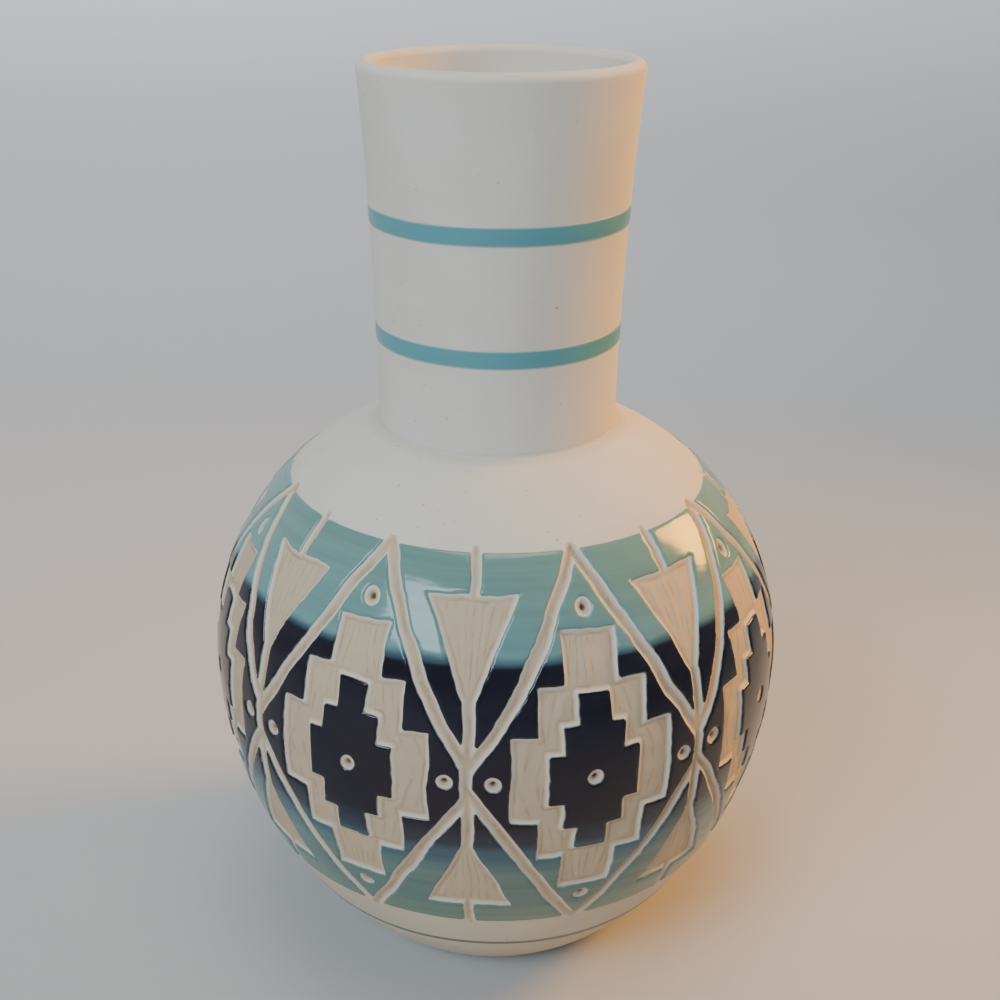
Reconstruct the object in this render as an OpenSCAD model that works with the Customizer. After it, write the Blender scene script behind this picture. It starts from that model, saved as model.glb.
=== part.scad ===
// Carved bottle vase. A thrown globe takes a flared neck in a shallow seat in its shoulder.
// Thin glaze coats lie on the clay, and a carved band is cut through the coats of the globe.
// The vase stands on z = 0 with its axis on Z, and the front of the pattern faces -Y.

/* [Globe] */
// Widest diameter of the clay globe
globe_d = 161; // [140:1:190]
// Height of the widest line above the base
globe_z = 87; // [76:1:98]
// Radius of the profile arc above the widest line
shoulder_arc_r = 72; // [62:1:84]
// Radius of the profile arc below the widest line
lower_arc_r = 115; // [104:1:140]
// Wall thickness of the globe
globe_wall = 5; // [3.5:0.5:7]
// Thickness of the clay floor over the hollow of the foot
floor_t = 6; // [4:0.5:10]
// Width of the ring that the vase stands on
foot_ring_w = 8; // [4:0.5:14]
// Depth of the hollow inside the foot ring
foot_recess = 2.5; // [1:0.5:4]
// Radius of the rounded outer edge of the foot
foot_round = 2; // [1:0.5:4]

/* [Neck] */
// Outside diameter of the neck where it leaves the shoulder
neck_d = 65; // [56:1:74]
// Outside diameter of the neck just below the lip
mouth_d = 73; // [62:1:88]
// Length of the neck from the shoulder to the top of the lip
neck_h = 95; // [75:1:120]
// Wall thickness of the neck, which the round lip shares
neck_wall = 4.5; // [3:0.5:6]
// Depth of the seat in the shoulder that takes the foot of the neck
seat_depth = 1.2; // [0.8:0.1:2]
// Clearance round the foot of the neck in its seat
seat_clear = 0.15; // [0.05:0.05:0.4]

/* [Glaze] */
// Thickness of the glaze coats on the globe
coat_t = 0.6; // [0.3:0.1:1]
// Height of the bare clay between the neck and the upper coat
bare_shoulder_h = 15; // [8:1:20]
// Height of the upper teal coat
upper_coat_h = 21.5; // [16:0.5:27]
// Height of the navy coat
navy_coat_h = 48.5; // [40:0.5:56]
// Height of the lower teal coat
lower_coat_h = 32; // [26:0.5:38]
// Thickness of the stripes on the neck and of the foot line
stripe_t = 0.4; // [0.2:0.1:0.8]
// Width of each stripe on the neck
stripe_w = 5; // [3:0.5:8]
// Height of the lower stripe's middle above the shoulder
low_stripe_rise = 26; // [18:1:32]
// Distance between the middles of the two stripes
stripe_pitch = 31; // [22:1:36]
// Drop from the lower coat's edge to the middle of the foot line
foot_line_drop = 15; // [8:1:18]
// Height of the foot line
foot_line_w = 2.5; // [1:0.5:3]
// Thickness of the clear glaze that lines the inside
liner_t = 0.5; // [0.3:0.1:1]

/* [Carving] */
// Number of repeats of the carved pattern round the globe
repeats = 8; // [6:1:10]
// Turn of the whole pattern round the axis, in degrees
pattern_turn = 18; // [0:1:45]
// Width of the large lozenge whose outline forms the lattice
lattice_w = 66; // [56:1:76]
// Height of the large lozenge
lattice_h = 104; // [86:1:112]
// Width of the lattice groove
groove_w = 3; // [2:0.25:4]
// Width of the stepped lozenge
stepped_w = 42; // [34:1:48]
// Height of the stepped lozenge
stepped_h = 72; // [58:1:80]
// Number of steps from the side of the stepped lozenge to its tip
steps = 3; // [2:1:5]
// Width of the glazed core left inside the stepped lozenge
core_w = 24; // [14:1:30]
// Height of the glazed core
core_h = 44; // [26:1:54]
// Width of each tooth at its base
tooth_w = 22; // [14:1:34]
// Height of each tooth from base to tip
tooth_h = 26; // [18:1:36]
// Strip of glaze between the base of the teeth and the edge of the coat
tooth_edge = 8; // [4:0.5:12]
// Diameter of the punched dots
dot_d = 4; // [3:0.5:6]

/* [Hidden] */
$fn = 180;

// Longest chord of a profile arc, and the counts of points along the flare, the lip and the foot's edge
chord = 6;
flare_steps = 14;
lip_steps = 10;
fillet_steps = 5;

globe_r = globe_d / 2;
upper_c = globe_r - shoulder_arc_r;
lower_c = globe_r - lower_arc_r;
neck_r = neck_d / 2;
mouth_r = mouth_d / 2;
bore_r = neck_r - neck_wall;
seat_r = neck_r + seat_clear;
lip_r = neck_wall / 2;

// A point of the globe's outline at the angle a above the widest line, moved out by off
function globe_pt(a, off) = a >= 0
    ? [upper_c + (shoulder_arc_r + off) * cos(a), globe_z + (shoulder_arc_r + off) * sin(a)]
    : [lower_c + (lower_arc_r + off) * cos(a), globe_z + (lower_arc_r + off) * sin(a)];

// The angle at which the outline, moved out by off, reaches the height z or the upper radius r
function angle_at(z, off) = asin((z - globe_z) / (off + (z >= globe_z ? shoulder_arc_r : lower_arc_r)));
function angle_at_r(r, off) = acos((r - upper_c) / (shoulder_arc_r + off));

// Even angles from a0 down to a1 without the last, split at the widest line where they cross it
function part(a0, a1) = let (
        r = a0 > 0 ? shoulder_arc_r : lower_arc_r,
        n = max(1, ceil((a0 - a1) * PI / 180 * r / chord)))
    [for (i = [0 : n - 1]) a0 + (a1 - a0) * i / n];
function run(a0, a1) = a0 > 0 && a1 < 0 ? concat(part(a0, 0), part(0, a1)) : part(a0, a1);
function reversed(list) = [for (i = [len(list) - 1 : -1 : 0]) list[i]];

// Heights of the seat and of the edges of the coats, from the shoulder down
crease_a = angle_at_r(seat_r, 0);
crease_z = globe_pt(crease_a, 0)[1];
seat_z = crease_z - seat_depth;
coat_top_z = crease_z - bare_shoulder_h;
navy_top_z = coat_top_z - upper_coat_h;
navy_bottom_z = navy_top_z - navy_coat_h;
coat_bottom_z = navy_bottom_z - lower_coat_h;
line_z = coat_bottom_z - foot_line_drop;
pattern_z = (coat_top_z + coat_bottom_z) / 2;
floor_z = foot_recess + floor_t;

coat_top_a = angle_at(coat_top_z, 0);
navy_top_a = angle_at(navy_top_z, 0);
navy_bottom_a = angle_at(navy_bottom_z, 0);
coat_bottom_a = angle_at(coat_bottom_z, 0);
line_top_a = angle_at(line_z + foot_line_w / 2, 0);
line_bottom_a = angle_at(line_z - foot_line_w / 2, 0);
foot_a = angle_at(foot_round, -foot_round);
foot_c = globe_pt(foot_a, -foot_round);

// The outline of the clay has a point at every edge of a coat, so that each coat fits it exactly
outline_a = concat(run(crease_a, coat_top_a), run(coat_top_a, navy_top_a),
    run(navy_top_a, navy_bottom_a), run(navy_bottom_a, coat_bottom_a),
    run(coat_bottom_a, line_top_a), run(line_top_a, line_bottom_a), run(line_bottom_a, foot_a), [foot_a]);
foot_fillet = [for (i = [1 : fillet_steps]) let (a = foot_a + (-90 - foot_a) * i / fillet_steps)
    foot_c + foot_round * [cos(a), sin(a)]];

// The inside of the globe from the opening down to the middle of the floor, moved in by off
function inside(off) = let (
        top_a = angle_at_r(bore_r - off, -globe_wall - off),
        low_a = angle_at(floor_z + off, -globe_wall - off))
    concat([for (a = concat(run(top_a, low_a), [low_a])) globe_pt(a, -globe_wall - off)],
        [[0, floor_z + off]]);

// Outside radius of the neck at the height h above the shoulder, which grows by this power of h
flare_power = 2;
flare_h = neck_h - lip_r;
function neck_out(h) = neck_r + (mouth_r - neck_r) * pow(h / flare_h, flare_power);
function flare(h0, h1, n, off) = [for (i = [0 : n]) let (h = h0 + (h1 - h0) * i / n)
    [neck_out(h) + off, crease_z + h]];
lip = [for (i = [1 : lip_steps - 1]) let (a = 180 * i / lip_steps)
    [mouth_r - lip_r + lip_r * cos(a), crease_z + flare_h + lip_r * sin(a)]];

// Half the diagonals of a lozenge whose sides are moved out by off
function grown(w, h, off) = let (side = norm([w, h])) [w + 2 * off * side / h, h + 2 * off * side / w] / 2;
lattice_in = grown(lattice_w, lattice_h, -groove_w / 2);

// Half the angle of a repeat, and of the panel left between two upright grooves
half_pitch = 180 / repeats;
half_panel = half_pitch - asin(groove_w / 2 / globe_r);

// Side dots lie midway from the stepped lozenge to the lattice or to the panel's edge, whichever is nearer
dot_x = (stepped_w / 2 + min(lattice_in[0], globe_r * sin(half_panel))) / 2;
// Tip dots lie as far from the stepped lozenge as from both sides of the lattice
tip_slope = lattice_in[0] / norm(lattice_in);
dot_z = (stepped_h / 2 + tip_slope * lattice_in[1]) / (1 + tip_slope);

// The section of a coat of thickness t on the globe between two angles
function coat_section(a0, a1, t) = let (angles = concat(run(a0, a1), [a1]))
    concat([for (a = angles) globe_pt(a, t)], [for (a = reversed(angles)) globe_pt(a, 0)]);

module turned(outline) {
    rotate_extrude() polygon(outline);
}

// A stripe on the neck, whose middle is at the height h above the shoulder
module neck_stripe(h) {
    h0 = h - stripe_w / 2;
    h1 = h + stripe_w / 2;
    turned(concat(flare(h0, h1, 1, 0), reversed(flare(h0, h1, 1, stripe_t))));
}

module lozenge(half) {
    polygon([[half[0], 0], [0, half[1]], [-half[0], 0], [0, -half[1]]]);
}

// A lozenge with stepped sides, made of crossed bars
module stepped_lozenge(w, h) {
    for (i = [1 : steps]) square([w * (steps + 1 - i), h * i] / steps, center = true);
}

// A drawing in width and height, cut outward at the angle a from well inside the coats
module outward(a) {
    rotate([0, 0, a]) rotate([90, 0, 0]) translate([0, 0, neck_r])
        linear_extrude(height = globe_r) children();
}

module lozenge_drawing() {
    difference() {
        lozenge(grown(lattice_w, lattice_h, groove_w / 2));
        lozenge(lattice_in);
    }
    difference() {
        stepped_lozenge(stepped_w, stepped_h);
        stepped_lozenge(core_w, core_h);
    }
    circle(d = dot_d);
    for (side = [-1, 1]) {
        translate([side * dot_x, 0]) circle(d = dot_d);
        translate([0, side * dot_z]) circle(d = dot_d);
    }
}

module teeth_drawing() {
    high = coat_top_z - tooth_edge;
    low = coat_bottom_z + tooth_edge;
    polygon([[-tooth_w / 2, high], [tooth_w / 2, high], [0, high - tooth_h]]);
    polygon([[-tooth_w / 2, low], [tooth_w / 2, low], [0, low + tooth_h]]);
}

// A glaze coat in carved panels, with an upright groove between each panel and the next
module carved_coat(a0, a1) {
    for (i = [0 : repeats - 1]) rotate([0, 0, pattern_turn + 2 * half_pitch * i]) difference() {
        rotate([0, 0, -90 - half_panel]) rotate_extrude(angle = 2 * half_panel)
            polygon(coat_section(a0, a1, coat_t));
        outward(0) translate([0, pattern_z]) lozenge_drawing();
        outward(-half_pitch) teeth_drawing();
        outward(half_pitch) teeth_drawing();
    }
}

// Clay globe with its seat for the neck, its hollow and its turned foot
module globe() {
    ring_r = foot_c[0] - foot_ring_w;
    color("antiquewhite") turned(concat([[seat_r, seat_z]],
        [for (a = outline_a) globe_pt(a, 0)], foot_fillet,
        [[ring_r, 0], [ring_r - foot_recess, foot_recess], [0, foot_recess]],
        reversed(inside(0)), [[bore_r, seat_z]]));
}

// Flared clay neck with a round lip
module neck() {
    color("linen") turned(concat([[neck_r, seat_z]], flare(0, flare_h, flare_steps, 0), lip,
        reversed(flare(0, flare_h, flare_steps, -neck_wall)), [[bore_r, seat_z]]));
}

module upper_teal_coat() {
    color("cadetblue") carved_coat(coat_top_a, navy_top_a);
}

module navy_coat() {
    color("midnightblue") carved_coat(navy_top_a, navy_bottom_a);
}

module lower_teal_coat() {
    color("mediumaquamarine") carved_coat(navy_bottom_a, coat_bottom_a);
}

module upper_neck_stripe() {
    color("cadetblue") neck_stripe(low_stripe_rise + stripe_pitch);
}

module lower_neck_stripe() {
    color("cadetblue") neck_stripe(low_stripe_rise);
}

module foot_line() {
    color("slategray") turned(coat_section(line_top_a, line_bottom_a, stripe_t));
}

// Glaze that lines the neck and the globe and seals the joint between them
module inner_glaze() {
    clay = concat(reversed(flare(0, flare_h, flare_steps, -neck_wall)), inside(0));
    face = concat(reversed(flare(0, flare_h, flare_steps, -neck_wall - liner_t)), inside(liner_t));
    color("ivory") turned(concat(clay, reversed(face)));
}

globe();
neck();
upper_teal_coat();
navy_coat();
lower_teal_coat();
upper_neck_stripe();
lower_neck_stripe();
foot_line();
inner_glaze();
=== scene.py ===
"""Carved bottle vase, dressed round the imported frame.

Lengths are in millimetres until a mesh is made. A point of the vase is given by the turn phi round
the axis, in radians from the front (-Y), and by a place on an upright outline of (radius, height)
points. On the globe that place is s, the arc length above its widest line.
"""

import bpy
import numpy as np
from mathutils import Matrix


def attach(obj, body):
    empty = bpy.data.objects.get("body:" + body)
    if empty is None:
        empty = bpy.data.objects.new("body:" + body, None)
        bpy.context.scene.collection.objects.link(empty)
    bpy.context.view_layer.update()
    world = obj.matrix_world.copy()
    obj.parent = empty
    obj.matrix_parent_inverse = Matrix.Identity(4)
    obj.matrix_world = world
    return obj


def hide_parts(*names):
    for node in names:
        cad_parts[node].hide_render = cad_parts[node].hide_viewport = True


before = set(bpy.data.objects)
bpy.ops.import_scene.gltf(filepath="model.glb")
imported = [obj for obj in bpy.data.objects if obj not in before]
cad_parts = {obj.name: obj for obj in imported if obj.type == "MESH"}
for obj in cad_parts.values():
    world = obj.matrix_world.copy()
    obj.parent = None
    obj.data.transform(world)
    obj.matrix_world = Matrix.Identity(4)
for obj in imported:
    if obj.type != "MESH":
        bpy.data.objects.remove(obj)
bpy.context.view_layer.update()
MM = 0.001

# Sizes of the clay
GLOBE_R = 80.5
GLOBE_Z = 87.0
SHOULDER_ARC = 72.0
LOWER_ARC = 115.0
WALL = 5.0
FLOOR_Z = 8.5
FOOT_RING_W = 8.0
FOOT_RECESS = 2.5
FOOT_ROUND = 2.0
RECESS_EDGE = 6.0
RING_ROUND = 0.8
NECK_R = 32.5
MOUTH_R = 36.5
NECK_H = 95.0
NECK_WALL = 4.5
NECK_WAVER = 0.035
NECK_WAVER_RISE = 10.0
SEAT_DEPTH = 1.2
SEAT_CLEAR = 0.15
CREASE_FILLET = 0.9
CREASE_GAP = 0.02
GAP_DEPTH = 0.3
GAP_FOOT = 0.5

# Heights of the glaze zones below the foot of the neck
BARE_SHOULDER_H = 15.0
UPPER_COAT_H = 21.5
NAVY_COAT_H = 48.5
LOWER_COAT_H = 32.0
FOOT_LINE_DROP = 15.0

# Glaze
COAT_T = 0.55
COAT_WAVER = 0.02
COAT_EDGE = 0.85
RIM_LEAN = 2.0
PINCH_LIFT = 0.02
STRIPE_T = 0.2
STRIPE_SINK = 0.05
STRIPE_W = 5.0
STRIPE_WAVER = 0.06
STRIPE_RISES = {"lower": 26.0, "upper": 57.0}
FOOT_LINE_W = 2.5
LINER_T = 0.5
LINER_FADE = 12.0
LINER_EDGE = 0.02
EDGE_ROW = 0.05

# Carved pattern, as it is drawn flat on one panel
REPEATS = 8
TURN = np.radians(18.0)
PITCH = 2 * np.pi / REPEATS
LATTICE = (33.0, 52.0)
GROOVE_W = 3.0
STEPPED = (21.0, 36.0)
CORE = (12.0, 22.0)
STEPS = 3
TOOTH_HALF = 11.0
TOOTH_H = 26.0
TOOTH_EDGE = 8.0
DOT_R = 2.0
# Side dots lie midway from the stepped lozenge to the panel's edge, tip dots midway to the lattice
LATTICE_SIDE = np.hypot(*LATTICE)
LATTICE_IN = [half - GROOVE_W / 2 * LATTICE_SIDE / other for half, other in (LATTICE, LATTICE[::-1])]
PANEL_HALF_W = GLOBE_R * np.sin(PITCH / 2 - np.arcsin(GROOVE_W / 2 / GLOBE_R))
TIP_SLOPE = LATTICE_IN[0] / np.hypot(*LATTICE_IN)
DOT_X = (STEPPED[0] + min(LATTICE_IN[0], PANEL_HALF_W)) / 2
DOT_Z = (STEPPED[1] + TIP_SLOPE * LATTICE_IN[1]) / (1 + TIP_SLOPE)

# What the hand leaves: wavering lines, chatter along the cuts, shifted and tilted panels
HAND_WAVER = 0.26
HAND_CHATTER = 0.06
HAND_SHIFT = 0.6
HAND_TILT = 0.015

# Depths of the carving below the clay's own surface, and widths of its marks
FLOOR_DEPTH = 0.55
BEVEL_W = 1.0
KNIFE_DEPTH = 0.12
KNIFE_IN = 1.35
KNIFE_W = 0.4
DOT_DEPTH = 0.35
PIT_DEPTH = 1.3
PIT_START = 0.4
SCRAPE_DEPTH = 0.09
SCRAPE_START = 1.8
SCRAPE_PACE = 1.3
MARK_PITCH = 2.1
MARK_FAN = 30.0
PANEL_FAN_BACK = 4.0
TOOTH_FAN_BACK = 10.0
FADE_H = 1.2

# Fineness of the grids
COLUMNS = 880
ROW_STEP = 0.55
BAND_MARGIN = 1.8
PLAIN_STEP = 1.2
INNER_STEP = 5.0
NECK_ROWS = 70
LIP_POINTS = 25
FILLET_POINTS = 8
FILLET_EDGE = 0.01
RING_COLUMNS = 320
RING_POINTS = 19
LINING_COLUMNS = 240
LINING_ROWS = 50
LINING_STEP = 3.0

# How grid points settle onto the edge of the glaze, and small limits in the sums
SETTLE_ROUNDS = 3
SETTLE_STEPS = 3
SETTLE_REACH = 0.3
LEAST_SLOPE = 0.2
ON_EDGE = 0.01
SLOPE_LIMITS = (0.6, 1.0)
WAVE_STARTS = (0, 6.28)
TINY = 1e-6
NO_AREA = 1e-12


def globe_point(s, off=0.0):
    """Outline of the globe at the arc length s above its widest line, moved out by off.

    Two arcs meet at the widest line: radius c + (R + off) cos(s / R), height z0 + (R + off) sin(s / R).
    """
    arc = np.where(np.asarray(s) >= 0, SHOULDER_ARC, LOWER_ARC)
    return GLOBE_R - arc + (arc + off) * np.cos(s / arc), GLOBE_Z + (arc + off) * np.sin(s / arc)


def globe_tilt(s):
    """Angle of the globe's normal above the level at the arc length s: the arc's own angle."""
    return s / np.where(np.asarray(s) >= 0, SHOULDER_ARC, LOWER_ARC)


def arc_length(z):
    """Arc length above the widest line at which the globe's outline reaches the height z."""
    arc = SHOULDER_ARC if z >= GLOBE_Z else LOWER_ARC
    return arc * np.arcsin((z - GLOBE_Z) / arc)


# Places worked out from the sizes
SEAT_R = NECK_R + SEAT_CLEAR
BORE_R = NECK_R - NECK_WALL
CREASE_S = SHOULDER_ARC * np.arccos((SEAT_R - GLOBE_R + SHOULDER_ARC) / SHOULDER_ARC)
CREASE_Z = float(globe_point(CREASE_S)[1])
SEAT_Z = CREASE_Z - SEAT_DEPTH
COAT_TOP_Z = CREASE_Z - BARE_SHOULDER_H
NAVY_TOP_Z = COAT_TOP_Z - UPPER_COAT_H
NAVY_BOTTOM_Z = NAVY_TOP_Z - NAVY_COAT_H
COAT_BOTTOM_Z = NAVY_BOTTOM_Z - LOWER_COAT_H
FOOT_LINE_Z = COAT_BOTTOM_Z - FOOT_LINE_DROP
PATTERN_Z = (COAT_TOP_Z + COAT_BOTTOM_Z) / 2
UPPER_TIP_Z = COAT_TOP_Z - TOOTH_EDGE - TOOTH_H
LOWER_TIP_Z = COAT_BOTTOM_Z + TOOTH_EDGE + TOOTH_H
COAT_TOP_S = arc_length(COAT_TOP_Z)
COAT_BOTTOM_S = arc_length(COAT_BOTTOM_Z)
BAND_LOW = COAT_BOTTOM_S - BAND_MARGIN
BAND_HIGH = COAT_TOP_S + BAND_MARGIN
LIP_R = NECK_WALL / 2
FLARE_H = NECK_H - LIP_R


def around(r, phi, z):
    """Points at the radius r, the turn phi from the front and the height z: (r sin phi, -r cos phi, z)."""
    return np.stack(np.broadcast_arrays(r * np.sin(phi), -r * np.cos(phi), z), axis=-1)


def even_turns(columns, start=TURN):
    """Equal turns right round the axis, counted from the middle of the first panel or from a start."""
    return start + np.arange(columns) * 2 * np.pi / columns


def smooth(x):
    """Rises from 0 to 1 as x does and is level at both ends: 3 x^2 - 2 x^3."""
    x = np.clip(x, 0, 1)
    return x**2 * (3 - 2 * x)


def wavering(phi, along, seed, size, turns=(6, 34), pace=(0.08, 0.4), count=7):
    """A smooth unevenness of about the given size: a sum of slanting waves.

    Each wave makes a whole number of turns round the vase, so that it closes on itself.
    """
    rng = np.random.default_rng(seed)
    waves = zip(rng.integers(*turns, count), rng.uniform(*pace, count), rng.uniform(*WAVE_STARTS, count))
    total = 0.0
    for turn, climb, start in waves:
        total = total + np.sin(turn * phi + rng.choice((-1, 1)) * climb * along + start)
    return size * total / np.sqrt(count)


def in_box(x, z, half_w, half_h):
    """Signed distance to an upright rectangle round the origin, negative inside."""
    qx, qz = np.abs(x) - half_w, np.abs(z) - half_h
    return np.hypot(np.maximum(qx, 0), np.maximum(qz, 0)) + np.minimum(np.maximum(qx, qz), 0)


def in_steps(x, z, half):
    """Signed distance to a lozenge with stepped sides: the nearest of the crossed bars that make it up."""
    shares = [(1 + STEPS - i, i) for i in range(1, STEPS + 1)]
    return np.minimum.reduce([in_box(x, z, half[0] * w / STEPS, half[1] * h / STEPS) for w, h in shares])


def in_tooth(x, rise):
    """Signed distance to a tooth whose tip is at rise 0 and whose base is at the rise of its height."""
    side = (np.abs(x) * TOOTH_H - rise * TOOTH_HALF) / np.hypot(TOOTH_H, TOOTH_HALF)
    return np.maximum(side, rise - TOOTH_H)


# Each panel is drawn a little off its place and a little askew
hand = np.random.default_rng(11)
PANEL_SHIFT = hand.uniform(-HAND_SHIFT, HAND_SHIFT, (2, REPEATS))
PANEL_TILT = hand.uniform(-HAND_TILT, HAND_TILT, REPEATS)


def carving(phi, s):
    """Signed distances to everything carved, to the dots alone, and the way across the scraping marks.

    The pattern is drawn on the plane of each panel's middle, x = r sin(phi - middle), and cut straight out.
    The marks fan out from beyond the panel's tips in the stepped lozenge, and from beyond their own tips in
    the teeth.
    """
    r, z = globe_point(s)
    turn = (phi - TURN) / PITCH
    panel = np.floor(turn + 0.5)
    n = panel.astype(int) % REPEATS
    x = r * np.sin((turn - panel) * PITCH) + wavering(phi, s, seed=21, size=HAND_WAVER) + PANEL_SHIFT[0][n]
    y = z - PATTERN_Z + wavering(phi, s, seed=22, size=HAND_WAVER) + PANEL_SHIFT[1][n]
    x, y = x - PANEL_TILT[n] * y, y + PANEL_TILT[n] * x
    off_line = np.abs(x) * LATTICE[1] + np.abs(y) * LATTICE[0] - LATTICE[0] * LATTICE[1]
    lattice = np.abs(off_line / LATTICE_SIDE) - GROOVE_W / 2
    stepped = np.maximum(in_steps(x, y, STEPPED), -in_steps(x, y, CORE))
    centres = [np.hypot(x, y), np.hypot(np.abs(x) - DOT_X, y), np.hypot(x, np.abs(y) - DOT_Z)]
    dots = np.minimum.reduce(centres) - DOT_R

    between = (turn - np.floor(turn) - 0.5) * PITCH
    across = r * np.sin(between) + wavering(phi, s, seed=23, size=HAND_WAVER)
    widening = np.abs(np.sin(between)) + np.cos(between)
    groove = np.abs(across) / widening - GROOVE_W / 2 * r / GLOBE_R
    rises = np.stack([z - UPPER_TIP_Z, LOWER_TIP_Z - z])
    teeth = in_tooth(across, rises + wavering(phi, s, seed=24, size=HAND_WAVER))

    fan = np.arctan2(x, LATTICE[1] + PANEL_FAN_BACK - np.abs(y)) * MARK_FAN
    tooth_fan = np.arctan2(across, np.max(rises, axis=0) + TOOTH_FAN_BACK) * MARK_FAN
    marks = np.where(np.min(teeth, axis=0) < stepped, tooth_fan, fan)
    chatter = wavering(phi, s, seed=25, size=HAND_CHATTER, turns=(50, 140), pace=(0.5, 1.6), count=9)
    cuts = np.minimum.reduce([lattice, stepped, groove, *teeth]) + chatter
    return np.minimum(cuts, dots), dots, marks


def glazed(phi, s):
    """Signed distance into the glaze: from the carving and from the coats' upper and lower edges."""
    return np.minimum(carving(phi, s)[0], np.minimum(COAT_TOP_S - s, s - COAT_BOTTOM_S))


def slope(field, phi, s, step=0.02):
    """Gradient of a field on the globe's surface, per millimetre round it and per millimetre up it."""
    turn = step / globe_point(s)[0]
    return ((field(phi + turn, s) - field(phi - turn, s)) / (2 * step),
            (field(phi, s + step) - field(phi, s - step)) / (2 * step))


def next_along(values, axis):
    """The values of the next grid points along an axis. The grid closes round the vase, not up and down."""
    ahead = np.roll(values, -1, axis)
    if axis == 0:
        ahead[-1] = values[-1]
    return ahead


def nearer_ends(d):
    """Of each grid line whose ends lie on two sides of the glaze's edge, the end that is nearer to it."""
    near = np.zeros(d.shape, bool)
    for axis in (0, 1):
        ahead = next_along(d, axis)
        crosses = d * ahead < 0
        first = np.abs(d) <= np.abs(ahead)
        near |= crosses & first
        near |= np.roll(crosses & ~first, 1, axis)
    return near


def settle(phi, s, fixed):
    """Moves the grid points beside an edge of the glaze onto it, in place, and says on which side each is.

    Points move straight down the slope of the distance, and those of fixed rows only round the vase. Moved
    points may leave others beside the edge, so this is done in rounds. The side is 1 in glaze, -1 in clay
    and 0 on the edge.
    """
    on_edge = np.zeros(s.shape, bool)
    for _ in range(SETTLE_ROUNDS):
        on_edge |= nearer_ends(np.where(on_edge, 0.0, glazed(phi, s)))
        for _ in range(SETTLE_STEPS):
            p, q = phi[on_edge], s[on_edge]
            gx, gs = slope(glazed, p, q)
            gs = np.where(fixed[on_edge], 0.0, gs)
            pull = glazed(p, q) / np.maximum(gx**2 + gs**2, LEAST_SLOPE)
            pull = np.clip(pull, -SETTLE_REACH, SETTLE_REACH)
            phi[on_edge] -= pull * gx / globe_point(q)[0]
            s[on_edge] -= pull * gs
    d = glazed(phi, s)
    on_edge |= nearer_ends(np.where(on_edge, 0.0, d)) | (np.abs(d) < ON_EDGE)
    side = np.where(on_edge, 0, np.sign(d)).astype(int)
    beside = np.stack([np.roll(side, step, axis) for axis in (0, 1) for step in (-1, 1)])
    return np.where((side > 0) & (beside.max(axis=0) <= 0), 0, side)


def split_quads(points, side):
    """Triangles of a grid that closes round the vase.

    Each quad is cut along its shorter diagonal, or along the one that follows the edge of the glaze.
    """
    rows, columns = side.shape
    index = np.arange(rows * columns).reshape(rows, columns)
    corners = [index[:-1], np.roll(index, -1, 1)[:-1], np.roll(index, -1, 1)[1:], index[1:]]
    a, b, c, d = [part.ravel() for part in corners]
    flat, sides = points.reshape(-1, 3), side.ravel()
    short = np.linalg.norm(flat[b] - flat[d], axis=1) < np.linalg.norm(flat[a] - flat[c], axis=1)
    edge_ac = (sides[a] == 0) & (sides[c] == 0) | (sides[b] * sides[d] < 0)
    edge_bd = (sides[b] == 0) & (sides[d] == 0) | (sides[a] * sides[c] < 0)
    use_bd = np.where(edge_ac == edge_bd, short, edge_bd)
    one = np.where(use_bd[:, None], np.stack([a, b, d], 1), np.stack([a, b, c], 1))
    two = np.where(use_bd[:, None], np.stack([b, c, d], 1), np.stack([a, c, d], 1))
    return np.stack([one, two], 1).reshape(-1, 3)


def strips(low, high):
    """Triangles between rows of point numbers and the rows that follow them, closed round the vase."""
    a, b, c, d = low, np.roll(low, -1, 1), np.roll(high, -1, 1), high
    return np.concatenate([np.stack([a, b, c], -1).reshape(-1, 3), np.stack([a, c, d], -1).reshape(-1, 3)])


def point_normals(points, triangles):
    """Unit normals of the points: the sum of the normals of the triangles round each, by their areas."""
    p = points[triangles]
    flat = np.cross(p[:, 1] - p[:, 0], p[:, 2] - p[:, 0])
    corners = triangles.ravel()
    total = np.stack([np.bincount(corners, np.repeat(part, 3), len(points)) for part in flat.T], 1)
    return total / np.maximum(np.linalg.norm(total, axis=1, keepdims=True), NO_AREA)


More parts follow.
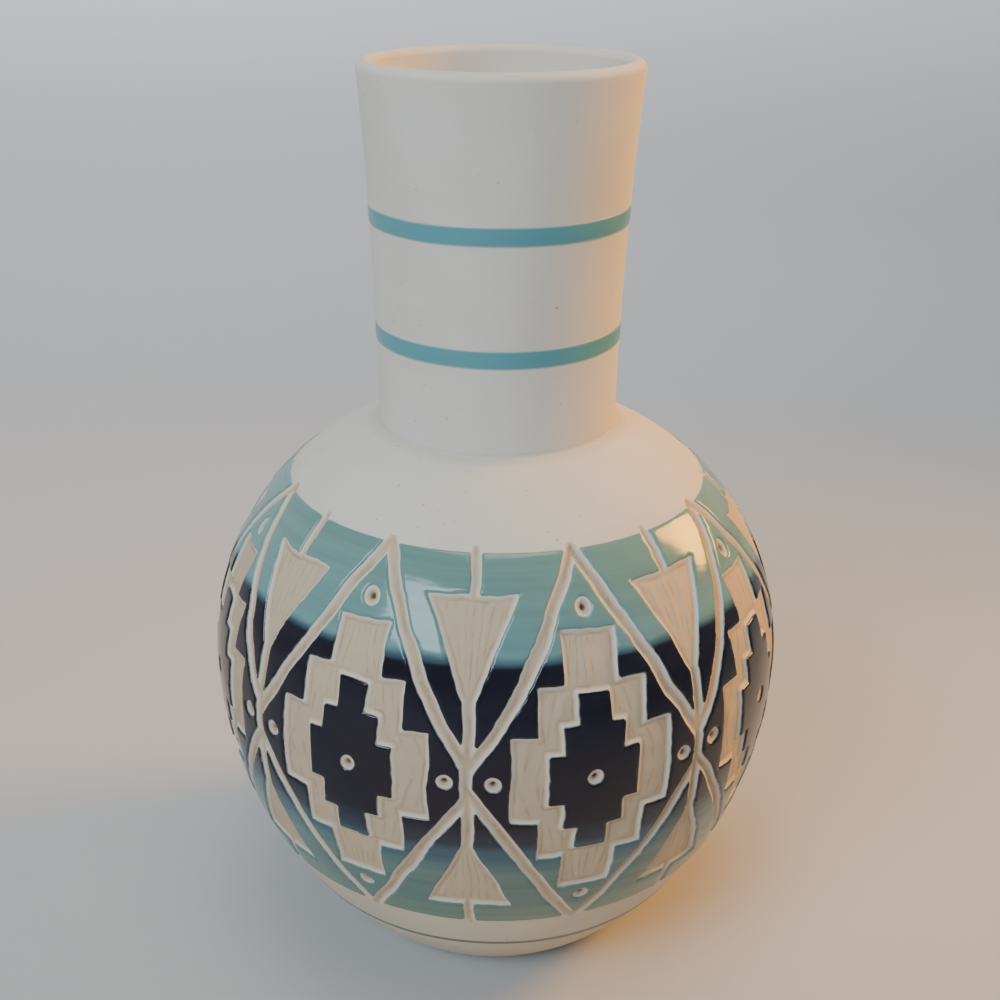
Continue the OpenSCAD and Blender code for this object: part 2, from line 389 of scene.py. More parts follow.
def make_piece(name, points, triangles, finish, slot, nodes, normals=None, seams=(), **fields):
    """A closed mesh of points in millimetres that rides on the vase, stands for the nodes and has a finish.

    The triangles are turned about if they enclose a negative volume, so that they all face outward. At a
    seam, given by its arc length on the globe, the points take the globe's own normal, to hide the seam.
    """
    corner = points[triangles]
    if np.einsum("ij,ij->", corner[:, 0], np.cross(corner[:, 1], corner[:, 2])) < 0:
        triangles = triangles[:, ::-1]
    if seams:
        normals = point_normals(points, triangles)
    for s in seams:
        r, z = globe_point(s)
        on_seam = np.isclose(np.hypot(points[:, 0], points[:, 1]), r) & np.isclose(points[:, 2], z)
        phi = np.arctan2(points[on_seam, 0], -points[on_seam, 1])
        normals[on_seam] = around(np.cos(globe_tilt(s)), phi, np.sin(globe_tilt(s)))
    mesh = bpy.data.meshes.new(name)
    mesh.vertices.add(len(points))
    mesh.vertices.foreach_set("co", (points * MM).astype(np.float32).ravel())
    mesh.loops.add(triangles.size)
    mesh.loops.foreach_set("vertex_index", triangles.astype(np.int32).ravel())
    mesh.polygons.add(len(triangles))
    mesh.polygons.foreach_set("loop_start", np.arange(0, triangles.size, 3, dtype=np.int32))
    mesh.update(calc_edges=True)
    mesh.shade_smooth()
    for key, values in fields.items():
        layer = mesh.attributes.new(key, "FLOAT", "POINT")
        layer.data.foreach_set("value", np.asarray(values, np.float32))
    if normals is not None:
        mesh.normals_split_custom_set_from_vertices(normals.tolist())
    mesh.materials.append(finish)
    piece = bpy.data.objects.new(name, mesh)
    bpy.context.scene.collection.objects.link(piece)
    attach(piece, "root")
    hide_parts(*nodes)


def turned(outline, columns, wave=None):
    """An outline of (radius, height) points carried round the axis.

    It closes on itself, or from pole to pole where its first and last points lie on the axis.
    """
    phi = even_turns(columns)
    r, z = np.asarray(outline, float).T
    stray = 0.0 if wave is None else wave(phi[None, :], z[:, None])
    grid = around(r[:, None] + stray, phi, z[:, None])
    poles = r[0] == 0
    points = (grid[1:-1] if poles else grid).reshape(-1, 3)
    index = np.arange(len(points)).reshape(-1, columns)
    if not poles:
        return points, strips(index, np.roll(index, -1, 0))
    ends = np.array([[0, 0, z[0]], [0, 0, z[-1]]])
    first = np.stack([np.full(columns, len(points)), np.roll(index[0], -1), index[0]], 1)
    last = np.stack([np.full(columns, len(points) + 1), index[-1], np.roll(index[-1], -1)], 1)
    return np.concatenate([points, ends]), np.concatenate([strips(index[:-1], index[1:]), first, last])


def globe_run(s0, s1, step, off=0.0):
    """Points of the globe's outline, moved out by off, from the arc length s0 to s1."""
    s = np.linspace(s0, s1, max(2, int(np.ceil(abs(s1 - s0) / step)) + 1))
    return np.stack(globe_point(s, off), 1)


def bend(centre, radius, start, stop, count):
    """Points of an arc from one angle to another, in degrees."""
    a = np.radians(np.linspace(start, stop, count))
    return np.stack([centre[0] + radius * np.cos(a), centre[1] + radius * np.sin(a)], 1)


class Value:
    """A number that varies over a surface. Arithmetic on it adds Math nodes to its finish."""

    def __init__(self, finish, socket):
        self.finish, self.socket = finish, socket

    def math(self, operation, *others):
        return self.finish.math(operation, self, *others)

    def __add__(self, other):
        return self.math("ADD", other)

    def __sub__(self, other):
        return self.math("SUBTRACT", other)

    def __rsub__(self, other):
        return self.finish.math("SUBTRACT", other, self)

    def __mul__(self, other):
        return self.math("MULTIPLY", other)

    def __truediv__(self, other):
        return self.math("DIVIDE", other)

    def __pow__(self, other):
        return self.math("POWER", other)

    __radd__, __rmul__ = __add__, __mul__


class Finish:
    """One procedural material, built node by node. Its places and heights are in millimetres."""

    def __init__(self, name):
        self.material = bpy.data.materials.new(name)
        self.material.use_nodes = True
        self.tree = self.material.node_tree
        self.tree.nodes.clear()
        place = self.node("ShaderNodeTexCoord", output="Object")
        self.place = self.node("ShaderNodeVectorMath", {"operation": "SCALE"}, {0: place, "Scale": 1 / MM})
        self.height = self.node("ShaderNodeSeparateXYZ", {}, {0: self.place}, "Z")

    def node(self, kind, settings=None, sockets=None, output=0):
        """Adds a node, sets it up, then gives its sockets their values or links. Returns one output."""
        made = self.tree.nodes.new(kind)
        for key, setting in (settings or {}).items():
            if key == "stops":
                ramp = made.color_ramp.elements
                while len(ramp) < len(setting):
                    ramp.new(1.0)
                for stop, (position, colour) in zip(ramp, setting):
                    stop.position, stop.color = position, (*colour, 1.0)
            else:
                setattr(made, key, setting)
        for key, given in (sockets or {}).items():
            if isinstance(given, Value):
                self.tree.links.new(given.socket, made.inputs[key])
            else:
                made.inputs[key].default_value = given
        return Value(self, made.outputs[output]) if made.outputs else None

    def math(self, operation, *values):
        return self.node("ShaderNodeMath", {"operation": operation}, dict(enumerate(values)))

    def field(self, name):
        """A number that the mesh carries at its points."""
        return self.node("ShaderNodeAttribute", {"attribute_name": name}, output="Fac")

    def step(self, value, low, high):
        """Rises smoothly from 0 at low to 1 at high."""
        return self.node("ShaderNodeMapRange", {"interpolation_type": "SMOOTHSTEP"},
                         {"Value": value, "From Min": low, "From Max": high})

    def noise(self, size, stretch=(1.0, 1.0, 1.0), detail=2.0):
        """Noise from 0 to 1 whose patches are about size millimetres, stretched along each axis."""
        scale = tuple(1 / (size * k) for k in stretch)
        place = self.node("ShaderNodeVectorMath", {"operation": "MULTIPLY"}, {0: self.place, 1: scale})
        return self.node("ShaderNodeTexNoise", {}, {"Vector": place, "Scale": 1.0, "Detail": detail})

    def blend(self, share, one, two):
        """A colour between two, by the share of the second."""
        one, two = [colour if isinstance(colour, Value) else (*colour, 1.0) for colour in (one, two)]
        return self.node("ShaderNodeMix", {"data_type": "RGBA", "clamp_factor": True},
                         {0: share, 6: one, 7: two}, 2)

    def finish(self, colour, roughness, height=None, distance=0.05, ior=1.5):
        """Closes the material with a Principled shader. The height is in units of distance millimetres."""
        sockets = {"Base Color": colour, "Roughness": roughness, "IOR": ior}
        if height is not None:
            sockets["Normal"] = self.node("ShaderNodeBump", {}, {"Strength": 1.0, "Height": height,
                                                                 "Distance": distance * MM})
        shader = self.node("ShaderNodeBsdfPrincipled", {}, sockets)
        self.node("ShaderNodeOutputMaterial", {}, {"Surface": shader})
        return self.material


# Colours in linear light
CLAY = (0.725, 0.70, 0.648)
# Warmer, darker clay: the clay's own clouds, and painted shade towards the foot
CLAY_WARM = (0.58, 0.515, 0.385)
CLAY_PALE = (0.76, 0.73, 0.67)
# Dark brown of the specks, and of the dust and painted shade in the crease
SPECK_AND_CREASE_SHADE = (0.30, 0.24, 0.17)
CARVED = (0.525, 0.405, 0.262)
# Brown of the scraping marks, and of the painted shade along the knife's groove
KNIFE_SHADE_AND_MARK_BROWN = (0.36, 0.255, 0.165)
# Near-black painted shade at the bottom of the dots' pits
PIT_SHADE = (0.07, 0.05, 0.035)
TEAL = (0.155, 0.31, 0.32)
TEAL_GREEN = (0.17, 0.32, 0.295)
LOW_GREEN = (0.157, 0.252, 0.198)
LOW_TEAL = (0.117, 0.204, 0.190)
BLUE_TEAL = (0.055, 0.130, 0.165)
SLATE = (0.020, 0.032, 0.052)
NAVY = (0.005, 0.005, 0.016)
STREAK_DARK = (0.0, 0.0, 0.0)
EDGE_PALE = (0.50, 0.52, 0.48)
STRIPE = (0.11, 0.335, 0.385)
STRIPE_DEEP = (0.075, 0.255, 0.31)
LINE = (0.19, 0.20, 0.15)
LINE_DEEP = (0.13, 0.14, 0.105)
LINER = (0.86, 0.84, 0.80)

# Colours of the glaze band by height
BAND_STOPS = (
    (40.0, LOW_GREEN), (48.0, LOW_TEAL), (58.0, LOW_TEAL), (64.5, BLUE_TEAL), (70.5, SLATE), (76.0, NAVY),
    (NAVY_TOP_Z - 0.9, NAVY), (NAVY_TOP_Z + 0.4, BLUE_TEAL), (NAVY_TOP_Z + 1.5, TEAL), (133.0, TEAL_GREEN))

# Heights, or distances in from an edge, over which the looks change
WARMTH_AND_SHADE_HEIGHTS = (20.0, 165.0)
CREASE_DUST_AND_SHADE = (0.3, 1.5)
CARVED_IN = (0.0, 0.6)
BEVEL_START = (0.0, 0.15)
BEVEL_END = (0.5, 1.1)
SCRAPED_IN = (1.6, 2.4)
MARK_WANDER = 1.2
KNIFE_SHADE_W = KNIFE_W * 0.8
STREAK_SHIFT = 2.2
DRIFT_SHIFT = 2.0
GLAZE_THIN = (0.02, 0.3)
GLAZE_THIN_WANDER = 0.5
STRIPE_THIN = (0.0, 0.6)


def clay_colour(f):
    """The colour of the cream clay, and the turning lines in it.

    The clay is warmer and darker towards the foot, partly its own tone and partly painted shade, and warmer
    in broad clouds, with a few dark specks and a crease darkened by dust and painted shade.
    """
    cloud = f.noise(size=38, detail=3)
    lines = f.noise(size=1.6, stretch=(30, 30, 1))
    speck = f.step(f.noise(size=1.7, detail=1), 0.775, 0.80)
    # low: the clay turns warmer and darker towards the foot, partly its own tone and partly painted shade
    low = 1 - f.step(f.height, *WARMTH_AND_SHADE_HEIGHTS)
    # crease: the clay darkens along the neck's crease, as dust and painted shade
    crease = 1 - f.step((f.height - CREASE_Z).math("ABSOLUTE"), *CREASE_DUST_AND_SHADE)
    colour = f.blend(f.step(cloud, 0.35, 0.75) * 0.3 + lines * 0.16 + low * 0.65, CLAY, CLAY_WARM)
    colour = f.blend(crease * 0.22, colour, SPECK_AND_CREASE_SHADE)
    return f.blend(speck * 0.6, colour, SPECK_AND_CREASE_SHADE), lines


def bare_clay():
    """Matt fired clay, smooth from the wheel."""
    f = Finish("bare_clay")
    colour, lines = clay_colour(f)
    grain = f.noise(size=0.5, detail=3)
    relief = lines * 0.5 + grain * 0.35
    return f.finish(colour, roughness=0.72 + 0.16 * grain, height=relief, distance=0.05)


def carved_clay():
    """Clay laid bare by the knife: a pale bevel, painted shade as a brown line in the groove inside it,
    and scraping marks behind.

    The dots are punched deeper and end in a pit painted near-black as shade.
    """
    f = Finish("carved_clay")
    colour, lines = clay_colour(f)
    inside, pit = f.field("inside"), f.field("pit")
    grain = f.noise(size=0.6, detail=3)
    rake = f.field("across") + (f.noise(size=9) - 0.5) * MARK_WANDER
    marks = (rake * (2 * np.pi / MARK_PITCH)).math("SINE") * 0.5 + 0.5
    floor = f.step(inside, *SCRAPED_IN)
    marks = (marks ** 6.0) * floor * f.step(f.noise(size=5, detail=3), 0.38, 0.60)
    # knife: painted shade, a brown line along the knife's groove at the foot of the bevel
    gap = (inside - KNIFE_IN) / KNIFE_SHADE_W
    knife = (gap * gap * -1.0).math("EXPONENT") * f.step(f.noise(size=7, detail=3), 0.34, 0.68)
    knife = knife * (1 - f.step(pit, 0.0, 0.1))
    bevel = (1 - f.step(inside, *BEVEL_END)) * f.step(inside, *BEVEL_START)
    colour = f.blend(f.step(inside, *CARVED_IN) * 0.85, colour, CARVED)
    colour = f.blend(bevel * 0.36, colour, CLAY_PALE)
    colour = f.blend(knife * 0.75, colour, KNIFE_SHADE_AND_MARK_BROWN)
    colour = f.blend(marks * 0.5, colour, KNIFE_SHADE_AND_MARK_BROWN)
    # Painted shade: the pits of the dots turn near-black
    colour = f.blend(f.step(pit, 0.5, 0.8) * 0.9, colour, PIT_SHADE)
    relief = lines * 0.2 + grain * 0.45 - marks * 0.7
    return f.finish(colour, roughness=0.74 + 0.16 * grain, height=relief, distance=0.1)


def band_glaze():
    """Glossy glaze, banded on the wheel: downward teal, blue-black, slate, blue and teal again."""
    f = Finish("band_glaze")
    streaks = f.noise(size=2.2, stretch=(45, 45, 1), detail=3)
    drift = f.noise(size=22, stretch=(1, 1, 0.6))
    ripple = f.noise(size=11, stretch=(1, 1, 0.35))
    level = f.height + (streaks - 0.5) * STREAK_SHIFT + (drift - 0.5) * DRIFT_SHIFT
    span = COAT_TOP_Z - COAT_BOTTOM_Z
    stops = [((z - COAT_BOTTOM_Z) / span, colour) for z, colour in BAND_STOPS]
    colour = f.node("ShaderNodeValToRGB", {"stops": stops}, {"Fac": (level - COAT_BOTTOM_Z) / span})
    colour = f.blend(f.step(streaks, 0.3, 0.72) * 0.16, colour, STREAK_DARK)
    edge = f.field("inside") + (f.noise(size=2.5, detail=3) - 0.5) * GLAZE_THIN_WANDER
    thin = 1 - f.step(edge, *GLAZE_THIN)
    colour = f.blend(thin * 0.5, colour, EDGE_PALE)
    gloss = 0.09 + 0.05 * drift + 0.3 * thin
    return f.finish(colour, roughness=gloss, height=ripple + streaks * 0.1, distance=0.08, ior=1.47)


def stripe_glaze(name, body, deep, roughness):
    """A brushed ring of glaze: uneven and deeper along the brush, and thin at its edges."""
    f = Finish(name)
    streaks = f.noise(size=0.9, stretch=(40, 40, 1), detail=3)
    pool = f.noise(size=14)
    colour = f.blend(streaks * 0.35 + pool * 0.25, body, deep)
    thin = 1 - f.step(f.field("inside"), *STRIPE_THIN)
    colour = f.blend(thin * 0.6, colour, CLAY)
    relief = pool + streaks * 0.25
    return f.finish(colour, roughness=roughness + 0.1 * streaks, height=relief, distance=0.05)


def lining_glaze():
    """Pale glaze over the clay inside, glossy, with runs down the wall. It thins out below the lip."""
    f = Finish("lining_glaze")
    runs = f.noise(size=6, stretch=(1, 1, 7))
    cloud = f.noise(size=25)
    thin = f.step(f.height, CREASE_Z + FLARE_H - LINER_FADE, CREASE_Z + FLARE_H)
    colour = f.blend(cloud * 0.3 + runs * 0.2, LINER, CLAY_WARM)
    colour = f.blend(thin, colour, CLAY)
    return f.finish(colour, roughness=0.3 + 0.15 * runs + 0.4 * thin, height=runs, distance=0.1)


def carved_depth(phi, s, side):
    """How deep the clay is cut at each point, and the fields that its finish reads.

    The floor lies behind a smooth bevel. A knife line runs along the foot of the bevel as a bell curve, and
    scraping marks ripple the floor as a sine of the way across them. A dot is a shallow cone that ends in a
    deeper pit. Beyond the coats the depth fades out.
    """
    cut, dots, across = carving(phi, s)
    steep = np.hypot(*slope(lambda p, q: carving(p, q)[0], phi, s))
    inside = np.clip(-cut / np.clip(steep, *SLOPE_LIMITS), 0, None) * (side < 0)
    ramp = np.clip(inside / BEVEL_W, 0, 1)
    knife = np.exp(-((inside - KNIFE_IN) / KNIFE_W)**2) * ramp
    depth = FLOOR_DEPTH * smooth(ramp) + KNIFE_DEPTH * knife
    pit = np.clip(-dots / DOT_R, 0, 1) * (side < 0)
    hole = smooth((pit - PIT_START) / (1 - PIT_START))
    depth = np.where(dots < 0, DOT_DEPTH * pit + PIT_DEPTH * hole, depth)
    marks = np.sin(across * SCRAPE_PACE) + wavering(phi, s, seed=31, size=1.0, pace=(0.3, 0.9))
    depth += np.clip(inside - SCRAPE_START, 0, 1) * SCRAPE_DEPTH * marks
    beyond = np.maximum(s - COAT_TOP_S, COAT_BOTTOM_S - s)
    depth *= np.clip(1 - beyond / FADE_H, 0, 1) * (side < 0)
    return depth, {"inside": inside, "across": across, "pit": pit}


def rim_normals(phi, s, rim, inward):
    """Unit normals of a coat's rounded edge, by formula: the globe's normal leans away from the glaze.

    The edge is a quarter ellipse, so the lean is the slope T rim / (E sqrt(1 - rim^2)), kept finite at the
    very edge.
    """
    lean = COAT_T * rim / (COAT_EDGE * np.sqrt(np.maximum(1 - rim**2, TINY)))
    lean = np.minimum(lean, RIM_LEAN) / np.maximum(np.hypot(*inward), TINY)
    sideways, up = lean * inward[0], lean * inward[1]
    tilt = globe_tilt(s)
    total = around(np.cos(tilt) + up * np.sin(tilt), phi, np.sin(tilt) - up * np.cos(tilt))
    total = total - around(sideways, phi + np.pi / 2, 0.0)
    return total / np.linalg.norm(total, axis=-1, keepdims=True)


def build_band(clay, glaze):
    """The carved band: three stacked rings of clay and the three glaze coats that lie on them.

    One fine grid of turns and arc lengths follows the whole band. Clay points sink by the depth of the
    carving. Glaze points rise by the coat's thickness, which rounds off to nothing at its edges as a
    quarter ellipse.
    """
    navy_edges = [arc_length(NAVY_BOTTOM_Z), arc_length(NAVY_TOP_Z)]
    edges = [BAND_LOW, COAT_BOTTOM_S, *navy_edges, COAT_TOP_S, BAND_HIGH]
    runs = [np.linspace(low, high, int(np.ceil((high - low) / ROW_STEP)), endpoint=False)
            for low, high in zip(edges, edges[1:])]
    rows = np.concatenate([*runs, edges[-1:]])
    starts = np.cumsum([0] + [len(run) for run in runs])
    fixed_rows = np.isin(np.arange(len(rows)), starts)
    s, phi = np.meshgrid(rows, even_turns(COLUMNS), indexing="ij")
    side = settle(phi, s, np.broadcast_to(fixed_rows[:, None], s.shape))

    depth, fields = carved_depth(phi, s, side)
    inward = slope(glazed, phi, s)
    into = np.clip(glazed(phi, s) / np.clip(np.hypot(*inward), *SLOPE_LIMITS), 0, None) * (side > 0)
    rim = 1 - np.clip(into / COAT_EDGE, 0, 1)
    thickness = COAT_T + wavering(phi, s, seed=41, size=COAT_WAVER, pace=(0.05, 0.3))
    coat = thickness * np.sqrt(1 - rim**2)

    def lifted(off):
        r, z = globe_point(s, off)
        return around(r, phi, z).reshape(-1, 3)

    clay_points, glaze_points, bed = lifted(-depth), lifted(coat), lifted(0.0)
    triangles = split_quads(lifted(coat - depth), side)
    is_glaze = side.ravel()[triangles].sum(1) > 0
    row_of = (triangles // COLUMNS).min(1)
    clay_normals = point_normals(clay_points, triangles[~is_glaze])
    covered = np.abs(clay_normals).sum(1) == 0
    clay_normals[covered] = point_normals(bed, triangles)[covered]
    glaze_normals = point_normals(glaze_points, triangles[is_glaze])
    on_rim = (rim.ravel() > 0) & ~np.repeat(fixed_rows, COLUMNS)
    glaze_normals[on_rim] = rim_normals(phi, s, rim, inward).reshape(-1, 3)[on_rim]

    zones = (("lower", starts[0], starts[2], "lower_teal_coat", "teal_glaze"),
             ("middle", starts[2], starts[3], "navy_coat", "navy_glaze"),
             ("upper", starts[3], starts[5], "upper_teal_coat", "teal_glaze"))
    for name, first, last, node, slot in zones:
        here = (row_of >= first) & (row_of < last)
        clay_ring(name, clay, rows, first, last, clay_points, clay_normals, triangles[here], fields)
        glaze_coat(node, glaze, slot, glaze_points, bed, glaze_normals, triangles[here & is_glaze], into)


def clay_ring(name, finish, rows, first, last, points, normals, triangles, fields):
    """One ring of the globe's wall: its carved face, a few rows of its inner face, flat ends between."""
    face = slice(first * COLUMNS, (last + 1) * COLUMNS)
    back = globe_run(rows[last], rows[first], INNER_STEP, -WALL)
    phi = even_turns(COLUMNS)
    inner = around(back[:, :1], phi, back[:, 1:]).reshape(-1, 3)
    inward = around(-np.ones((len(back), 1)), phi, 0.0).reshape(-1, 3)
    index = np.arange(len(points[face]) + len(inner)).reshape(-1, COLUMNS)
    low = index[last - first:]
    rest = strips(low, np.concatenate([low[1:], index[:1]]))
    plain = np.zeros(len(inner))
    fields = {key: np.concatenate([values.ravel()[face], plain]) for key, values in fields.items()}
    make_piece(f"globe_band_{name}", np.concatenate([points[face], inner]),
               np.concatenate([triangles - first * COLUMNS, rest]), finish, "clay", ["globe"],
               np.concatenate([normals[face], inward]), **fields)


def glaze_coat(node, finish, slot, top, bed, normals, triangles, into):
    """A closed coat of glaze: its face and bed share the points at its edges, where it thins to nothing.

    Where the coat meets the next one, a narrow wall joins the face to the bed. Where two edges meet in one
    line inside the coat, its face is lifted a little, so that the coat stays one skin.
    """
    used, local = np.unique(triangles, return_inverse=True)
    local = local.reshape(-1, 3)
    lines = np.concatenate([local[:, [0, 1]], local[:, [1, 2]], local[:, [2, 0]]])
    shared = np.isin(lines[:, 0] * len(used) + lines[:, 1], lines[:, 1] * len(used) + lines[:, 0])
    face, floor, normals, into = top[used], bed[used], normals[used], into.ravel()[used]
    thick = np.linalg.norm(face - floor, axis=1) > TINY
    pinched = np.unique(lines[shared & ~thick[lines].any(axis=1)])
    face[pinched] += PINCH_LIFT * normals[pinched]
    thick[pinched] = True
    under = np.where(thick, len(used) + np.cumsum(thick) - 1, np.arange(len(used)))
    a, b = lines[~shared].T
    wall = np.concatenate([np.stack([b, a, under[a]], 1), np.stack([b, under[a], under[b]], 1)])
    wall = wall[(wall[:, 0] != wall[:, 1]) & (wall[:, 1] != wall[:, 2]) & (wall[:, 2] != wall[:, 0])]
    make_piece(f"{node}_face", np.concatenate([face, floor[thick]]),
               np.concatenate([local, under[local[:, ::-1]], wall]), finish, slot, [node],
               np.concatenate([normals, -normals[thick]]), inside=np.concatenate([into, into[thick]]))


def neck_radius(rise):
    """Outside radius of the neck at a rise above the shoulder: it widens as the square of the rise."""
    return NECK_R + (MOUTH_R - NECK_R) * (rise / FLARE_H)**2


def neck_unevenness(phi, z):
    """How far the hand-thrown neck strays from a true round: nothing at the crease, a little above it."""
    grown = np.clip((z - CREASE_Z - CREASE_FILLET) / NECK_WAVER_RISE, 0, 1)
    return grown * wavering(phi, z, seed=51, size=NECK_WAVER, turns=(1, 5), pace=(0.03, 0.12))


def build_foot(finish):
    """The globe below the band: a floor with a foot ring round a shallow recess, turned as one outline."""
    foot_s = LOWER_ARC * np.arcsin((FOOT_ROUND - GLOBE_Z) / (LOWER_ARC - FOOT_ROUND))
    inner_s = LOWER_ARC * np.arcsin((FLOOR_Z - GLOBE_Z) / (LOWER_ARC - WALL))
    centre = np.array(globe_point(foot_s, -FOOT_ROUND))
    ring_r = centre[0] - FOOT_RING_W
    outline = np.concatenate([
        [[0, FOOT_RECESS], [ring_r - FOOT_RECESS - RECESS_EDGE, FOOT_RECESS]],
        bend((ring_r - 1.5 * FOOT_RECESS, 0), FOOT_RECESS, start=90, stop=25, count=7),
        bend((ring_r + RING_ROUND, RING_ROUND), RING_ROUND, start=215, stop=270, count=5),
        bend(centre, FOOT_ROUND, start=-90, stop=np.degrees(globe_tilt(foot_s)), count=12)[:-1],
        globe_run(foot_s, BAND_LOW, PLAIN_STEP),
        globe_run(BAND_LOW, inner_s, INNER_STEP, -WALL),
        [[0, FLOOR_Z]]])
    points, triangles = turned(outline, COLUMNS // 2)
    make_piece("globe_foot", points, triangles, finish, "clay", ["globe"], seams=[BAND_LOW])


def build_shoulder(finish):
    """The globe above the band, up to the seat of the neck.

    A narrow fillet, a curve of the second degree, leads from the shoulder up to the neck. It hides the gap
    between the neck and its seat.
    """
    bore_s = SHOULDER_ARC * np.arccos((BORE_R - GLOBE_R + SHOULDER_ARC) / (SHOULDER_ARC - WALL))
    t = np.linspace(0, 1, FILLET_POINTS)[:, None]
    start = np.array(globe_point(CREASE_S - CREASE_FILLET))
    corner = np.array([NECK_R + CREASE_GAP, CREASE_Z])
    fillet = (1 - t)**2 * start + 2 * t * (1 - t) * corner + t**2 * (corner + [0, CREASE_FILLET])
    outline = np.concatenate([
        globe_run(BAND_HIGH, CREASE_S - CREASE_FILLET, PLAIN_STEP)[:-1],
        fillet,
        [fillet[-1] - [0, FILLET_EDGE], [fillet[-1][0], CREASE_Z - GAP_DEPTH]],
        [[SEAT_R, CREASE_Z - GAP_FOOT], [SEAT_R, SEAT_Z], [BORE_R, SEAT_Z]],
        globe_run(bore_s, BAND_HIGH, INNER_STEP, -WALL)])
    points, triangles = turned(outline, COLUMNS // 2)
    make_piece("globe_shoulder", points, triangles, finish, "clay", ["globe"], seams=[BAND_HIGH])


def build_neck(finish):
    """The flared neck: a wall of even thickness that stands in the seat and ends in a round lip."""
    rise = np.linspace(0, FLARE_H, NECK_ROWS)
    outer = np.stack([neck_radius(rise), CREASE_Z + rise], 1)
    lip = bend((MOUTH_R - LIP_R, CREASE_Z + FLARE_H), LIP_R, start=0, stop=180, count=LIP_POINTS)[1:-1]
    inner = (outer - [NECK_WALL, 0])[::-1]
    outline = np.concatenate([[[NECK_R, SEAT_Z]], outer, lip, inner, [[BORE_R, SEAT_Z]]])
    points, triangles = turned(outline, RING_COLUMNS, neck_unevenness)
    make_piece("neck_clay", points, triangles, finish, "clay", ["neck"])


def build_rings(stripe, line):
    """The two stripes on the neck and the foot line: rings of glaze with a low half-elliptic section."""
    across = np.sin(np.linspace(-1, 1, RING_POINTS) * np.pi / 2)
    bulge = STRIPE_T * np.sqrt(1 - across**2)
    for seed, (name, rise) in enumerate(STRIPE_RISES.items(), start=61):
        rises = rise + across * STRIPE_W / 2
        face = np.stack([neck_radius(rises) + bulge, CREASE_Z + rises], 1)
        back = np.stack([neck_radius(rises) - STRIPE_SINK, CREASE_Z + rises], 1)
        ring(f"{name}_stripe", face, back, STRIPE_W, stripe, "stripe_glaze", f"{name}_neck_stripe", seed)
    s = arc_length(FOOT_LINE_Z) + across * FOOT_LINE_W / 2
    face = np.stack(globe_point(s, bulge), 1)
    back = np.stack(globe_point(s, -STRIPE_SINK), 1)
    ring("foot_line_ring", face, back, FOOT_LINE_W, line, "line_glaze", "foot_line", seed=63)


def ring(name, face, back, width, finish, slot, node, seed):
    """A ring of glaze whose height wavers a little round the vase, with the distance in from its edges."""
    outline = np.concatenate([face, back[-2:0:-1]])
    points, triangles = turned(outline, RING_COLUMNS, neck_unevenness)
    phi = np.arctan2(points[:, 0], -points[:, 1])
    points[:, 2] += wavering(phi, 0.0, seed, STRIPE_WAVER, turns=(2, 9))
    off_middle = np.repeat(np.abs(outline[:, 1] - outline[:, 1].mean()), RING_COLUMNS)
    inside = np.clip(width / 2 - off_middle, 0, None)
    make_piece(name, points, triangles, finish, slot, [node], inside=inside)


def build_lining(finish):
    """The glaze that lines the neck and the globe, from just inside the lip to the middle of the floor."""
    rise = np.concatenate([[FLARE_H], np.linspace(FLARE_H - EDGE_ROW, 0, LINING_ROWS)])
    wall = np.stack([neck_radius(rise) - NECK_WALL, CREASE_Z + rise], 1)

    def inner(off):
        deep = WALL + off
        top = SHOULDER_ARC * np.arccos((BORE_R - off - GLOBE_R + SHOULDER_ARC) / (SHOULDER_ARC - deep))
        low = LOWER_ARC * np.arcsin((FLOOR_Z + off - GLOBE_Z) / (LOWER_ARC - deep))
        upper = globe_run(top, 0, LINING_STEP, -deep)
        lower = globe_run(0, low, LINING_STEP, -deep)
        return np.concatenate([upper, lower[1:]])

    taper = LINER_T * np.clip((FLARE_H - rise) / LINER_FADE, LINER_EDGE, 1)
    face = np.concatenate([wall - np.stack([taper, 0 * rise], 1), inner(LINER_T)])
    back = np.concatenate([wall, inner(0.0)])
    outline = np.concatenate([[[0, FLOOR_Z + LINER_T]], face[::-1], back, [[0, FLOOR_Z]]])
    points, triangles = turned(outline, LINING_COLUMNS, neck_unevenness)
    make_piece("lining", points, triangles, finish, "liner_glaze", ["inner_glaze"])


clay_finish = bare_clay()
build_band(carved_clay(), band_glaze())
build_foot(clay_finish)
build_shoulder(clay_finish)
build_neck(clay_finish)
build_rings(stripe_glaze("stripe_glaze", STRIPE, STRIPE_DEEP, roughness=0.2),
            stripe_glaze("line_glaze", LINE, LINE_DEEP, roughness=0.4))
build_lining(lining_glaze())


# Stage, in metres: a floor that bends up into a wall all round, soft lights and the camera
FLOOR_R = 1.1
FLOOR_DROP = 0.00005
SWEEP_R = 0.8
SWEEP_POINTS = 24
WALL_TOP = 2.4
STAGE_COLUMNS = 96
FLOOR_GREY = (0.53, 0.53, 0.53)
WALL_GREY = (0.78, 0.78, 0.775)
WALL_GREY_H = 0.25
WORLD_COLOUR = (0.93, 0.95, 1.0, 1.0)
WORLD_STRENGTH = 0.04
CAMERA_AT = (-0.0003, -0.3622, 0.2856)
CAMERA_PITCH = 23.38
CAMERA_TURN = 1.62
CAMERA_LENS = 49.85
CAMERA_SENSOR = 36.0
CAMERA_SHIFT = 0.0413

# Soft lights: name, place, aim, size, power, colour and the spread of the beam in degrees
LIGHTS = (
    ("window_light", (-0.68, -1.01, 0.96), (0, 0, 0.11), (0.72, 0.64), 14.8, (0.74, 0.88, 1.0), 180),
    ("warm_light", (0.66, 0.24, 0.46), (0, 0, 0.15), (0.25, 0.3), 1.5, (1.0, 0.43, 0.03), 70),
    ("wall_light", (-0.3, 0.55, 1.6), (-0.3, 1.7, 0.45), (0.8, 0.4), 14.5, (0.86, 0.91, 1.0), 140),
    ("top_light", (0.05, -0.15, 1.3), (0, 0, 0.15), (0.7, 0.7), 6.2, (1.0, 0.88, 0.73), 180))


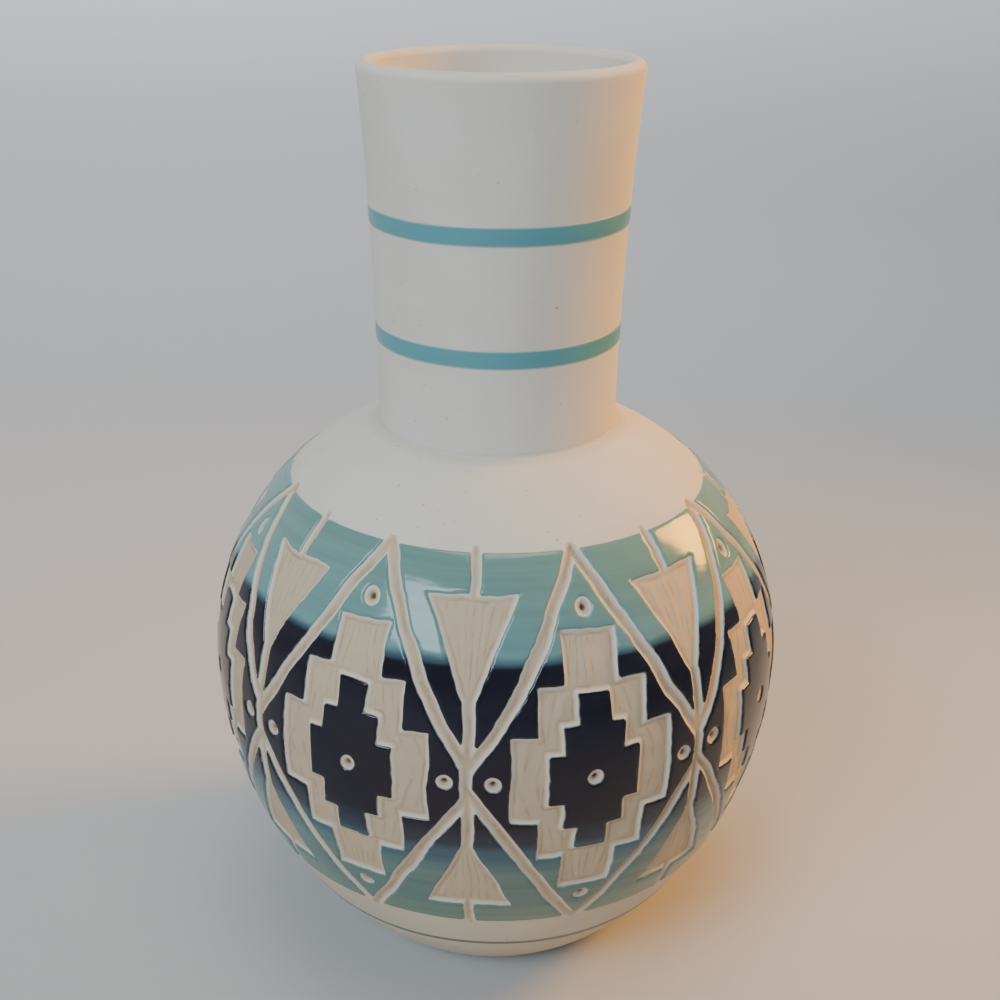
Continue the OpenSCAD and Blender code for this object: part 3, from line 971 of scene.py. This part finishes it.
def build_stage():
    """A pale bowl: a level round floor, then an arc and an upright wall carried round the axis."""
    arc = bend((FLOOR_R, SWEEP_R), SWEEP_R, start=-90, stop=0, count=SWEEP_POINTS)
    outline = np.concatenate([arc, [[FLOOR_R + SWEEP_R, WALL_TOP]]]) - [0, FLOOR_DROP]
    points = around(outline[:, :1], even_turns(STAGE_COLUMNS, start=0.0), outline[:, 1:]).reshape(-1, 3)
    index = np.arange(len(points)).reshape(-1, STAGE_COLUMNS)
    low, high = index[:-1], index[1:]
    wall = np.stack([low, high, np.roll(high, -1, 1), np.roll(low, -1, 1)], -1).reshape(-1, 4)
    mesh = bpy.data.meshes.new("stage_floor")
    mesh.from_pydata(points.tolist(), [], [index[0].tolist(), *wall.tolist()])
    mesh.shade_smooth()
    f = Finish("stage_paper")
    colour = f.blend(f.step(f.height, 0.0, WALL_GREY_H / MM), FLOOR_GREY, WALL_GREY)
    mesh.materials.append(f.finish(colour, roughness=0.85))
    floor = bpy.data.objects.new("stage_floor", mesh)
    bpy.context.scene.collection.objects.link(floor)


def add_light(name, at, aim, size, power, colour, spread):
    """A soft rectangular light that points from one place to another and spreads its beam over an angle."""
    data = bpy.data.lights.new(name, "AREA")
    data.shape, data.size, data.size_y = "RECTANGLE", *size
    data.energy, data.color, data.spread = power, colour, np.radians(spread)
    lamp = bpy.data.objects.new(name, data)
    bpy.context.scene.collection.objects.link(lamp)
    back = np.subtract(at, aim) / np.linalg.norm(np.subtract(at, aim))
    right = np.cross((0, 0, 1), back)
    right /= np.linalg.norm(right)
    turn = np.eye(4)
    turn[:3] = np.stack([right, np.cross(back, right), back, at], 1)
    lamp.matrix_world = Matrix(turn.tolist())


build_stage()
for light in LIGHTS:
    add_light(*light)
world = bpy.data.worlds.new("studio")
bpy.context.scene.world = world
world.use_nodes = True
sky = world.node_tree.nodes["Background"].inputs
sky["Color"].default_value = WORLD_COLOUR
sky["Strength"].default_value = WORLD_STRENGTH

lens = bpy.data.cameras.new("camera")
lens.lens, lens.sensor_width, lens.sensor_fit = CAMERA_LENS, CAMERA_SENSOR, "HORIZONTAL"
lens.shift_x = CAMERA_SHIFT
camera = bpy.data.objects.new("camera", lens)
bpy.context.scene.collection.objects.link(camera)
camera.location = CAMERA_AT
camera.rotation_euler = np.radians((90 - CAMERA_PITCH, 0, CAMERA_TURN))
bpy.context.scene.camera = camera
